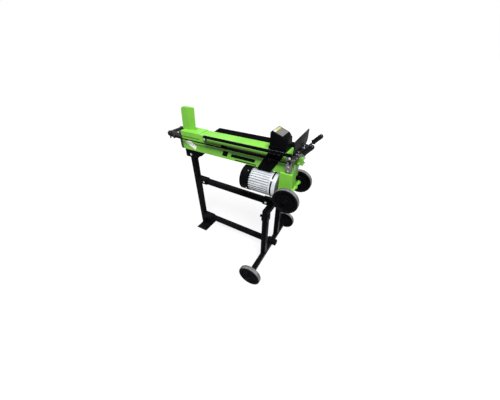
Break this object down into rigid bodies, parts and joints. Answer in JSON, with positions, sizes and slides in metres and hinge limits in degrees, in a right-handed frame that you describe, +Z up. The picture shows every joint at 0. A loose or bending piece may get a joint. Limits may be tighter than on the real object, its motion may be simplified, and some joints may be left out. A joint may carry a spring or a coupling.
{
  "type": "log splitter",
  "caption": "Horizontal electric hydraulic log splitter: box beam with a fixed wedge and a sliding pusher, motor and pump at one end, two hand levers, on a wheeled tubular stand.",
  "frame": {"origin": "on the floor, at the centre of the bounding box", "axes": "+X along the beam from the wedge to the motor, +Z up, +Y across, away from the motor's side"},
  "size_m": [0.9742, 0.669, 0.966],
  "materials": {
    "green_paint": "gloss powder coat",
    "black_paint": "satin powder coat",
    "dark_paint": "semi-gloss powder coat",
    "zinc": "zinc plated",
    "gunmetal": "black zinc plated",
    "steel": "ground",
    "chrome": "polished",
    "alloy": "satin",
    "pump_iron": "machined",
    "black_plastic": "moulded, fine texture",
    "grip_plastic": "moulded, semi-gloss",
    "tyre_rubber": "matte",
    "winding": "varnished",
    "red_plastic": "moulded, gloss"
  },
  "bodies": {
    "frame": {"beam": "green_paint", "end_plate": "dark_paint", "wedge_table": "green_paint", "wedge": "green_paint", "carry_handle": "dark_paint", "cradle_wings": "black_paint", "bolts": "zinc", "rear_plate": "green_paint", "tank": "green_paint", "tank_plugs": "black_plastic", "machine_axle": "green_paint", "axle_caps": "black_plastic", "piston_rod": "chrome", "piston": "steel", "valve_block": "green_paint", "valve_bracket": "gunmetal", "lever_bracket": "dark_paint", "hand_guard": "dark_paint", "motor_body": "alloy", "motor_stator": "winding", "end_bell": "alloy", "fan_cover": "black_paint", "motor_bearings": "steel", "terminal_box": "black_plastic", "cable_gland": "black_plastic", "pump_body": "pump_iron", "stand_bracket": "black_paint", "left_leg": "black_paint", "foot_plate": "black_paint", "upper_bar": "black_paint", "lower_bar": "black_paint", "cross_tube": "black_paint", "portal_legs": "black_paint", "stand_head": "black_paint", "stand_axle": "black_paint", "valve_spring": "steel"},
    "pusher": {"pusher_block": "black_paint", "pusher_saddle": "black_paint", "cylinder_barrel": "dark_paint", "cylinder_gland": "steel"},
    "machine_wheel_near": {"machine_tyre_near": "tyre_rubber", "machine_hub_near": "black_plastic"},
    "machine_wheel_far": {"machine_tyre_far": "tyre_rubber", "machine_hub_far": "black_plastic"},
    "stand_wheel_near": {"stand_tyre_near": "tyre_rubber", "stand_hub_near": "black_plastic"},
    "stand_wheel_far": {"stand_tyre_far": "tyre_rubber", "stand_hub_far": "black_plastic"},
    "near_lever": {"near_lever": "gunmetal", "near_grip": "grip_plastic"},
    "far_lever": {"far_lever": "gunmetal", "far_grip": "grip_plastic"},
    "spool": {"valve_spool": "steel"},
    "stroke_rod": {"stroke_rod": "dark_paint", "stroke_collar": "dark_paint"},
    "rotor": {"motor_shaft": "steel", "cooling_fan": "black_plastic", "drive_gear": "steel"},
    "driven_gear": {"driven_gear": "steel"},
    "switch": {"switch_rocker": "red_plastic"}
  },
  "joints": [
    {"name": "pusher_slide", "type": "slide", "parent": "frame", "child": "pusher", "axis": [-1, 0, 0], "range_m": [0, 0.33]},
    {"name": "machine_wheel_near_spin", "type": "hinge", "parent": "frame", "child": "machine_wheel_near", "pos_m": [0.3969, -0.1185, 0.593], "axis": [0, 1, 0], "continuous": true},
    {"name": "machine_wheel_far_spin", "type": "hinge", "parent": "frame", "child": "machine_wheel_far", "pos_m": [0.3969, 0.1185, 0.593], "axis": [0, 1, 0], "continuous": true},
    {"name": "stand_wheel_near_spin", "type": "hinge", "parent": "frame", "child": "stand_wheel_near", "pos_m": [0.2854, -0.309, 0.075], "axis": [0, 1, 0], "continuous": true},
    {"name": "stand_wheel_far_spin", "type": "hinge", "parent": "frame", "child": "stand_wheel_far", "pos_m": [0.2854, 0.309, 0.075], "axis": [0, 1, 0], "continuous": true},
    {"name": "near_lever_pivot", "type": "hinge", "parent": "frame", "child": "near_lever", "pos_m": [0.4169, -0.08, 0.833], "axis": [0, 1, 0], "range_deg": [0, 14], "stiffness_Nm_per_rad": 3, "springref_deg": -8.59},
    {"name": "far_lever_pivot", "type": "hinge", "parent": "frame", "child": "far_lever", "pos_m": [0.4169, 0.08, 0.833], "axis": [0, 1, 0], "range_deg": [0, 14], "stiffness_Nm_per_rad": 3, "springref_deg": -8.59},
    {"name": "spool_slide", "type": "slide", "parent": "frame", "child": "spool", "axis": [0, 0, -1], "range_m": [0, 0.0021], "stiffness_N_per_m": 1500, "springref_m": -0.002, "deforming": ["valve_spring"]},
    {"name": "stroke_rod_slide", "type": "slide", "parent": "frame", "child": "stroke_rod", "axis": [1, 0, 0], "range_m": [0, 0.006], "stiffness_N_per_m": 300, "springref_m": -0.01},
    {"name": "rotor_spin", "type": "hinge", "parent": "frame", "child": "rotor", "pos_m": [0.2249, -0.035, 0.623], "axis": [1, 0, 0], "continuous": true},
    {"name": "driven_gear_spin", "type": "hinge", "parent": "frame", "child": "driven_gear", "pos_m": [0.3499, -0.0042, 0.623], "axis": [1, 0, 0], "continuous": true},
    {"name": "switch_rock", "type": "hinge", "parent": "frame", "child": "switch", "pos_m": [0.2249, 0.071, 0.625], "axis": [1, 0, 0], "range_deg": [-24, 0], "stiffness_Nm_per_rad": 0.05, "springref_deg": 11.46}
  ],
  "couplings": [
    {"joint": "near_lever_pivot", "follows": "spool_slide", "rad_per_m": 116},
    {"joint": "driven_gear_spin", "follows": "rotor_spin", "ratio": -1}
  ]
}
